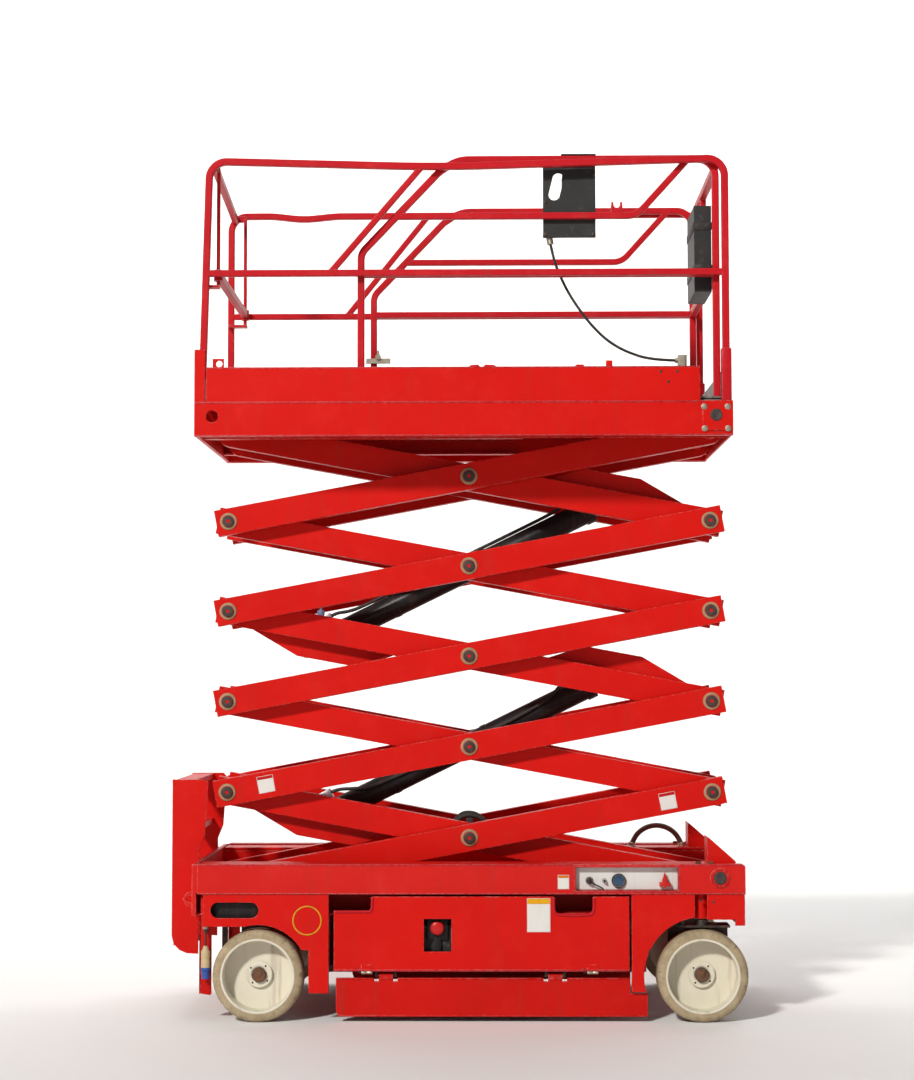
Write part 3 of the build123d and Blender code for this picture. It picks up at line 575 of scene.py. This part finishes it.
# rolled lips of the platform band, and weld runs at the toe boards
bm = bmesh.new()
for s in (-1.0, 1.0):
    rbox(bm, -1127, 1163, s * 588, s * 597, 2604, 2612.5, 3.0)
    rbox(bm, -1127, 1163, s * 588, s * 597, 2463.5, 2470, 2.5)
emit(bm, "band_lips", RED_RAIL_WORN_SKY_SHEEN, "platform")
bm = bmesh.new()
for s in (-1.0, 1.0):
    rbox(bm, -1076, 1024, s * 577, s * 595.4, 2753, 2760, 2.8)
    # corner sleeves of the front posts
    rbox(bm, 1116, 1159, s * 556, s * 593, 2610, 2838, 5.0)
emit(bm, "toe_caps", RED_RAIL_WORN_SKY_SHEEN, "platform")
bm = bmesh.new()
rbox(bm, 625, 653, -592, -583, 2756, 2785, 2.0)
prism(bm, [(490, 2757), (500, 2768), (530, 2768), (534, 2757)], -591, -585, 1.0)
prism(bm, [(36, 2757), (52, 2767), (82, 2769), (92, 2757)], -591, -585, 1.0)
prism(bm, [(102, 2757), (112, 2769), (150, 2767), (166, 2757)], -591, -585, 1.0)
emit(bm, "toe_tabs", RED, "platform")

# ------------------------------------------------------------------ blank plates and the ring
def on_outer(i, a, n):
    """Point on an outer arm: a along it from the front top pivot, n across it."""
    z = Z1 + i * H
    return XF - a * math.cos(TH) - n * math.sin(TH), z - a * math.sin(TH) + n * math.cos(TH)


def plate_on(name, body, cx, cz, w, h, y, rot, mat, bar=None, bar_mat=None, bar_h=0.0):
    bm = bmesh.new()
    rbox(bm, cx - w / 2, cx + w / 2, y, y - 0.9, cz - h / 2, cz + h / 2, 0.4, 1, rot)
    emit(bm, name, mat, body)
    if bar_h:
        bm = bmesh.new()
        ox, oz = (h / 2 - bar_h / 2 - 2) * math.sin(rot), (h / 2 - bar_h / 2 - 2) * math.cos(rot)
        rbox(bm, cx + ox - w / 2 + 2, cx + ox + w / 2 - 2, y - 0.8, y - 1.3, cz + oz - bar_h / 2, cz + oz + bar_h / 2, 0.2, 1, rot)
        emit(bm, name + "_bar", bar_mat, body)


x, z = on_outer(2, L_ARM - 172, 4)
plate_on("blank_plate_rear", "outer_2", x, z, 72, 74, -300.0, -TH, FILM, True, RED_FILM, 13)
x, z = on_outer(1, 196, -2)
plate_on("blank_plate_front", "outer_1", x, z, 72, 74, -300.0, -TH, FILM, True, RED_FILM, 13)
plate_on("blank_plate_door", "door_right", 331, 446, 98, 141, -594.0, 0.0, FILM, True, YELLOW, 22)
plate_on("blank_plate_beam", "chassis", 435, 584, 48, 60, -596.0, 0.0, FILM, True, YELLOW_DARK, 11)
bm = bmesh.new()
lathe(bm, (-640, -592.0, 423), [(62, 0), (62, 0.9), (61.7, 1.1), (56.3, 1.1), (56.0, 0.9), (56.0, 0)], n=72, sgn=-1.0, ring=True)
emit(bm, "yellow_ring", YELLOW, "chassis")

# ------------------------------------------------------------------ door lips, hinges
for s, body in ((-1.0, "door_right"), (1.0, "door_left")):
    bm = bmesh.new()
    y = s * 594.0
    tube(bm, [(-526, y, 460), (-384, y, 460), (-374, y, 463), (-369, y, 471), (-367, y, 482), (-367, y, 520)], 6.0, 10)
    tube(bm, smooth_path([(394, y, 520), (394, y, 476), (399, y, 458), (416, y, 448), (478, y, 445), (540, y, 448),
                          (557, y, 458), (562, y, 476), (562, y, 520)], 4), 6.5, 10)
    rbox(bm, -524, 706, s * 592.5, s * 596.5, 213, 221, 1.8)
    emit(bm, "door_lips_" + body, RED_RAIL_WORN_SKY_SHEEN, body)
    bm = bmesh.new()
    for x in (-390, 555):
        lathe(bm, (x - 22, s * 594.0, 208), [(6.4, 0), (6.9, 1.5), (6.9, 21), (6.2, 22), (6.2, 24), (6.9, 25), (6.9, 44), (6.4, 46)],
              axis="X", n=18)
    emit(bm, "door_hinges_" + body, ZINC, body)
for s, body in ((-1.0, "guard_right"), (1.0, "guard_left")):
    bm = bmesh.new()
    rbox(bm, -512, 786, s * 568, s * 578, 22.5, 30, 2.4)
    for x0, x1 in ((-518, -361), (-338, -282), (-259, 349), (372, 428), (451, 712)):
        rbox(bm, x0, x1, s * 572, s * 577, 176, 183, 1.8)
    emit(bm, "guard_lips_" + body, RED_DARK, body)

# ------------------------------------------------------------------ ground controls
bm = bmesh.new()
lathe(bm, (668, -566, 587), [(30, 0), (30, 9), (28.5, 11.8), (24.5, 12.2), (23.5, 9.5)], n=40, sgn=-1.0)
lathe(bm, (545, -566, 587), [(16, 0), (16, 4), (14, 6), (13.4, 17), (12, 18.6), (4, 18.8)], n=28, sgn=-1.0)
emit(bm, "panel_bezels", DARKSTEEL, "chassis")
bm = bmesh.new()
lathe(bm, (668, -576.2, 587), [(24, 0), (23.6, 1.0), (16, 2.2), (6, 2.8), (0.5, 2.9)], n=36, sgn=-1.0)
emit(bm, "gauge_glass", GAUGE, "chassis")
bm = bmesh.new()
rbox(bm, 541, 549, -596, -584, 578, 600, 2.0)
lathe(bm, (608, -566, 587), [(9.5, 0), (9.5, 4), (7.5, 6), (6, 16), (4.2, 18), (3.4, 22), (4.6, 25), (3.6, 27.5)], n=20, sgn=-1.0)
tube(bm, smooth_path([(551, -590, 582), (566, -591, 574), (590, -590, 562), (604, -588, 553)], 5), 3.2, 8)
emit(bm, "panel_switches", BPLAST, "chassis")
bm = bmesh.new()
prism(bm, [(860, 626), (868, 603), (873, 590), (870, 572), (861, 558), (852, 572), (848, 590), (853, 603)], -594, -580, 3.0)
rbox(bm, 838, 884, -593, -566, 564, 582, 3.0)
emit(bm, "panel_lever", RPLAST, "chassis")
bm = bmesh.new()
rbox(bm, 480, 923, -598.5, -590, 644, 651, 2.0)
rbox(bm, 480, 923, -598.5, -590, 541, 548, 2.0)
rbox(bm, 479.5, 487, -598.5, -590, 541, 651, 2.0)
rbox(bm, 916, 923.5, -598.5, -590, 541, 651, 2.0)
emit(bm, "panel_frame", RED_RAIL_WORN_SKY_SHEEN, "chassis")

# battery disconnect: red mushroom on a black carrier
bm = bmesh.new()
rbox(bm, -140, -50, -552, -544, 340, 438, 1.5)
rbox(bm, -110, -80, -552, -544, 216, 342, 1.5)
lathe(bm, (-95, -546, 389), [(19, 0), (19, 5), (15, 8), (15, 17)], n=28, sgn=-1.0)
emit(bm, "disconnect_carrier", BLACK, "chassis", "disconnect_knob")
bm = bmesh.new()
lathe(bm, (-95, -561, 389), [(15, 0), (26, 1), (29, 4), (29, 9), (26, 13), (16, 15.5), (0.6, 16.2)], n=36, sgn=-1.0)
emit(bm, "disconnect_mushroom", RPLAST, "chassis")

# black liners behind the strap slots as painted shade for the slot interiors, skirts beside the rear wheels
bm = bmesh.new()
for s in (-1.0, 1.0):
    rbox(bm, -1064, -830, s * 548, s * 554, 424, 536, 1.0)
    rbox(bm, -1090, -830, s * 548, s * 556, 528, 536, 1.0)
emit(bm, "slot_shade_liners", BLACK, "chassis")
bm = bmesh.new()
for s in (-1.0, 1.0):
    prism(bm, [(-1099, 537), (-1099, 128), (-1092, 112), (-1052, 106), (-1047, 112), (-1047, 400), (-1070, 537)], s * 534, s * 540, 1.2)
    rbox(bm, -1099, -1093, s * 505, s * 540, 112, 537, 1.0)
emit(bm, "rear_skirts", RED_DARK, "chassis")

# beam edge lips and small bolts on the chassis
bm = bmesh.new()
for s in (-1.0, 1.0):
    rbox(bm, -1102, 478 if s < 0 else 1186, s * 590, s * 598.5, 650, 658.5, 3.0)
    rbox(bm, -1102, 1197, s * 590, s * 598.5, 532.5, 538, 2.2)
rbox(bm, 925, 1186, -590, -598.5, 650, 658.5, 3.0)
emit(bm, "beam_lips", RED_RAIL_WORN_SKY_SHEEN, "chassis")
bm = bmesh.new()
for x in (1002, 1056):
    for s in (-1.0, 1.0):
        lathe(bm, (x, s * 566, 656), [(15, 0), (15, 2), (11, 2.4), (11, 9), (8.5, 11)], axis="Z", n=6)
emit(bm, "cover_bolts", RUST, "chassis")
bm = bmesh.new()
for s in (-1.0, 1.0):
    for x, z in ((1062, 500), (1010, 506)):
        lathe(bm, (x, s * 591.6, z), [(6, 0), (5.6, 1.2), (2.6, 1.8), (0.5, 1.9)], n=14, sgn=s)
emit(bm, "fender_rivets", DARKSTEEL, "chassis")

# ------------------------------------------------------------------ wheels
def tyre(nm, xc, sgn):
    prof = [(152, -64), (161, -65), (172, -64.6), (181, -62), (187, -57.5), (190.2, -50), (191.3, -38), (191.5, -18), (191.5, 0),
            (191.5, 18), (191.3, 38), (190.2, 50), (187, 57.5), (181, 62), (172, 64.6), (161, 65), (152, 64)]
    n = 216
    rg = random.Random(nm)
    chips = [(rg.uniform(0, 2 * math.pi), rg.uniform(0.012, 0.06), rg.uniform(1.5, 6.5), rg.choice((-1, 1))) for _ in range(64)]
    bm = bmesh.new()
    rings = []
    for k in range(n):
        a = 2 * math.pi * k / n
        low = max(0.0, -math.sin(a) - 0.985) / 0.015
        ring = []
        for j, (r, y) in enumerate(prof):
            sh = max(0.0, 1 - abs(abs(y) - 56) / 16)
            d = 0.0
            for ca, w, dep, side in chips:
                if side * y < 0:
                    continue
                da = abs((a - ca + math.pi) % (2 * math.pi) - math.pi)
                if da < w:
                    d = max(d, dep * (1 - (da / w) ** 2))
            nick = 1.7 if k % 6 == 0 else 0.0
            d = (d + nick) * sh * (1 - low)
            ring.append(bm.verts.new((xc + (r - d) * math.cos(a), sgn * (533 + y - math.copysign(0.45 * d, y)),
                                      191.5 + (r - d) * math.sin(a))))
        rings.append(ring)
    for a, b in zip(rings, rings[1:] + rings[:1]):
        for j in range(len(prof) - 1):
            bm.faces.new((a[j], a[j + 1], b[j + 1], b[j]))
        bm.faces.new((a[-1], a[0], b[0], b[-1]))
    emit(bm, "tyre_worn_" + nm, TYRE, "wheel_" + nm, "tyre_" + nm, smooth=50)


for nm, xc, sgn, hold in (("front_right", 1017, -1, "knuckle_right"), ("front_left", 1017, 1, "knuckle_left"),
                          ("rear_right", -847, -1, "chassis"), ("rear_left", -847, 1, "chassis")):
    tyre(nm, xc, sgn)
    bm = bmesh.new()
    lathe(bm, (xc, sgn * 597.0, 191.5), [(156.5, -6), (156.8, 0), (155, 2.2), (150, 2.6), (146.5, 1.0), (145.6, -8)], n=72, sgn=sgn, ring=True)
    lathe(bm, (xc, sgn * 527.0, 191.5), [(56, -2), (56, 0.5), (54.5, 2), (42, 2.2), (36, 3.0), (33, 2.2), (32.2, -2)], n=48, sgn=sgn, ring=True)
    emit(bm, "rim_lip_" + nm, CREAM, "wheel_" + nm)
    # black discs stand in for the dark insides of four hub holes (painted shade)
    bm = bmesh.new()
    for k in range(4):
        a = 0.9 + k * math.pi / 2
        lathe(bm, (xc + 44 * math.cos(a), sgn * 528.8, 191.5 + 44 * math.sin(a)), [(4.2, 0), (4.0, 0.8), (2.4, 1.0), (0.4, 1.0)], n=14, sgn=sgn)
    emit(bm, "hub_hole_shade_discs_" + nm, BPLAST, "wheel_" + nm)
    bm = bmesh.new()
    lathe(bm, (xc, sgn * 544.0, 191.5), [(30.5, -10), (30.5, 0), (28.6, 3.2), (20, 4.0), (15, 3.6), (11, 6.4), (4, 7.2), (0.6, 7.2)], n=12, sgn=sgn)
    emit(bm, "hub_nut_" + nm, RUST, hold)

# ------------------------------------------------------------------ cylinders: valve, coils, hoses, barrel bands
P1 = (-686.004, 785.336)
Q3 = (-686.004, 1571.326)
PHI = math.radians(26.02888)


def on_cyl(foot, u, v):
    return foot[0] + u * math.cos(PHI) - v * math.sin(PHI), foot[1] + u * math.sin(PHI) + v * math.cos(PHI)


for nm, foot in (("lower", P1), ("upper", Q3)):
    bm = bmesh.new()
    cx, cz = on_cyl(foot, 128, 78)
    rbox(bm, cx - 30, cx + 30, -24, 24, cz - 22, cz + 22, 3.0, 2, -PHI)
    emit(bm, "valve_block_" + nm, VALVE, "barrel_" + nm)
    bm = bmesh.new()
    coil = [(15, 0), (16.5, 2), (16.5, 30), (15, 33), (6, 34), (5, 42)]
    if nm == "lower":
        cx, cz = on_cyl(foot, 118, 78)
        lathe(bm, (cx, -22, cz), coil, n=24, sgn=-1.0)
    else:
        cx, cz = on_cyl(foot, 118, 112)
        lathe(bm, (cx, 0, cz - 16), coil, axis="Z", n=24)
    emit(bm, "valve_coil_" + nm, BLUEGREY, "barrel_" + nm)
    bm = bmesh.new()
    if nm == "lower":
        run = ((150, 84, -14), (200, 76, -24), (260, 52, -38), (340, 26, -55), (600, 14, -59), (900, 14, -59),
               (1180, 26, -55), (1280, 56, -36), (1330, 76, -18), (1352, 76, -14))
    else:
        run = ((150, 84, -14), (190, 82, -14), (240, 68, -14), (320, 61, -14), (600, 60.5, -14), (900, 60.5, -14),
               (1180, 61, -14), (1290, 66, -14), (1335, 80, -14), (1352, 76, -14))
    pts = [(on_cyl(foot, u, v), y) for u, v, y in run]
    tube(bm, smooth_path([(p[0], y, p[1]) for p, y in pts], 5), 8.0, 10)
    emit(bm, "barrel_hose_" + nm, RUBBER, "barrel_" + nm)
    bm = bmesh.new()
    for u in (420, 880):
        a = on_cyl(foot, u, 0)
        b = on_cyl(foot, u + 26, 0)
        ring = []
        for k in range(2):
            o = a if k == 0 else b
            ring.append([bm.verts.new((o[0] - 54.5 * math.sin(t) * math.sin(PHI), 54.5 * math.cos(t), o[1] + 54.5 * math.sin(t) * math.cos(PHI)))
                         for t in [2 * math.pi * j / 40 for j in range(40)]])
        for j in range(40):
            bm.faces.new((ring[0][j], ring[0][(j + 1) % 40], ring[1][(j + 1) % 40], ring[1][j]))
        bm.faces.new(ring[0])
        bm.faces.new(ring[1])
    emit(bm, "barrel_bands_" + nm, BLACK, "barrel_" + nm)

# hose bundle over the lowest centre tube
bm = bmesh.new()
cx, cz = XF - C / 2, Z1 + H / 2
for k, y in enumerate((-128, -106, -84)):
    tube(bm, smooth_path([(cx - 92 - 6 * k, y, cz + 20), (cx - 62, y, cz + 56 + 5 * k), (cx - 26, y, cz + 84 + 4 * k),
                          (cx + 22, y, cz + 84 + 3 * k), (cx + 62, y, cz + 62), (cx + 96 + 5 * k, y, cz + 12)], 6), 10.5, 10)
rbox(bm, cx - 16, cx + 16, -142, -70, cz + 24, cz + 76, 3.0)
emit(bm, "hose_bundle", RUBBER, "inner_1")

# hose arch sockets on the far cover
bm = bmesh.new()
for x in (787.5, 1022.5):
    lathe(bm, (x, 452, 650), [(22, 0), (22, 6), (17, 8), (15.5, 20), (13, 22)], axis="Z", n=24)
emit(bm, "hose_sockets", ZINC, "chassis")

# ------------------------------------------------------------------ platform pieces
bm = bmesh.new()
prism(bm, [(653, 3430), (653, 3462), (655, 3478), (663, 3478), (665, 3460), (672, 3452), (684, 3452), (691, 3460), (693, 3478),
           (701, 3478), (703, 3462), (703, 3430)], -541, -529, 1.5)
emit(bm, "rail_fork", RED_RAIL_WORN_SKY_SHEEN, "extension")
bm = bmesh.new()
lathe(bm, (515, -473, 3600), [(30, -2), (30, 3), (26, 7), (22, 9), (23, 13), (17, 16), (18, 20), (11, 23), (7.5, 26), (7, 36), (11, 40),
                              (13.5, 46), (13, 56), (9, 61), (2.5, 63)], axis="Z", n=30)
emit(bm, "joystick", RUBBER, "extension")
bm = bmesh.new()
lathe(bm, (515, -430.5, 3540), [(16, 0), (16, 8), (27, 10), (28, 18), (24, 26), (10, 29), (0.5, 29.5)], n=32, sgn=1.0)
emit(bm, "stop_button", RPLAST, "extension")
bm = bmesh.new()
for x, z in ((472, 3560), (472, 3510), (558, 3560), (558, 3510), (472, 3450), (515, 3450), (558, 3450)):
    lathe(bm, (x, -430.5, z), [(12, 0), (12, 3), (8.5, 5), (6, 9), (3.4, 11), (3.0, 20), (4.4, 24), (2, 26)], n=18, sgn=1.0)
emit(bm, "box_toggles", ZINC, "extension")
bm = bmesh.new()
for x, z in ((372, 3340), (578, 3340), (578, 3600), (372, 3480)):
    lathe(bm, (x, -520, z), [(8, 0), (7.6, 3), (4, 4.4), (0.5, 4.6)], n=18, sgn=-1.0)
emit(bm, "box_screws", DARKSTEEL, "extension")
bm = bmesh.new()
for k in range(5):
    rbox(bm, 1022 + 8 * k, 1028.5 + 8 * k, -488 + 3 * k, -212 - 4 * k, 3104, 3424 + 9 * (k % 3), 1.6)
emit(bm, "booklets", PAPER, "extension")
bm = bmesh.new()
for z in (3176, 3360):
    rbox(bm, 1008.5, 1013, -506, -189, z, z + 34, 1.6)
    rbox(bm, 1008.5, 1088, -508.5, -504, z, z + 34, 1.6)
emit(bm, "document_straps", RUBBER, "extension")

# ------------------------------------------------------------------ stage
fl = bpy.data.meshes.new("floor")
prof = [(-30.0, 0.0), (6.0, 0.0)] + [(6.0 + 4.0 * math.sin(math.radians(a)), 4.0 - 4.0 * math.cos(math.radians(a)))
                                      for a in range(6, 91, 6)] + [(10.0, 16.0)]
fl.from_pydata([(x, y, z) for y, z in prof for x in (-30.0, 30.0)], [],
               [(2 * k, 2 * k + 1, 2 * k + 3, 2 * k + 2) for k in range(len(prof) - 1)])
fl.shade_smooth()
floor = bpy.data.objects.new("floor", fl)
bpy.context.scene.collection.objects.link(floor)
fm, fnt, fb = new_mat("floor_pale")
fb.inputs["Roughness"].default_value = 0.9
fv = coords(fnt)
L(fnt, mix(fnt, noise(fnt, fv, 0.8, 4), (0.86, 0.86, 0.85), (0.82, 0.82, 0.81)), fb.inputs["Base Color"])
fl.materials.append(fm)

w = bpy.data.worlds.new("studio")
bpy.context.scene.world = w
w.use_nodes = True
w.node_tree.nodes["Background"].inputs["Color"].default_value = (0.95, 0.97, 1.0, 1)
w.node_tree.nodes["Background"].inputs["Strength"].default_value = 0.15


def area(name, loc, target, size, energy, color=(1, 1, 1)):
    d = bpy.data.lights.new(name, "AREA")
    d.shape = "RECTANGLE"
    d.size, d.size_y = size
    d.energy = energy
    d.color = color
    o = bpy.data.objects.new(name, d)
    o.location = loc
    o.rotation_euler = (Vector(target) - Vector(loc)).to_track_quat("-Z", "Y").to_euler()
    bpy.context.scene.collection.objects.link(o)
    return o


area("key", (-18.0, -34.5, 26.0), (0, 0, 1.8), (4.0, 4.0), 18500, (1.0, 0.975, 0.93))
area("fill", (7.5, -9.0, 4.0), (0, 0, 1.6), (5.0, 4.0), 40, (0.95, 0.97, 1.0))
area("back", (0.0, 3.0, 9.5), (0, 9.0, 3.0), (9.0, 2.0), 700)

cam = bpy.data.cameras.new("camera")
cam.sensor_fit = "VERTICAL"
cam.sensor_height = 36.0
cam.lens = 2201.0 / 1080 * 36.0
cam.clip_end = 200
camo = bpy.data.objects.new("camera", cam)
bpy.context.scene.collection.objects.link(camo)
yaw, pitch, roll = 0.0137, 0.0610, -0.0014
fwd0 = Vector((-math.sin(yaw), math.cos(yaw), 0))
right = Vector((math.cos(yaw), math.sin(yaw), 0))
upz = Vector((0, 0, 1))
fwd = fwd0 * math.cos(pitch) + upz * math.sin(pitch)
up = upz * math.cos(pitch) - fwd0 * math.sin(pitch)
r3 = right * math.cos(roll) + up * math.sin(roll)
u3 = up * math.cos(roll) - right * math.sin(roll)
M = Matrix((r3, u3, -fwd)).transposed().to_4x4()
M.translation = Vector((0.1367, -9.8924, 1.4527))
camo.matrix_world = M
bpy.context.scene.camera = camo
bpy.context.scene.view_settings.view_transform = "Standard"
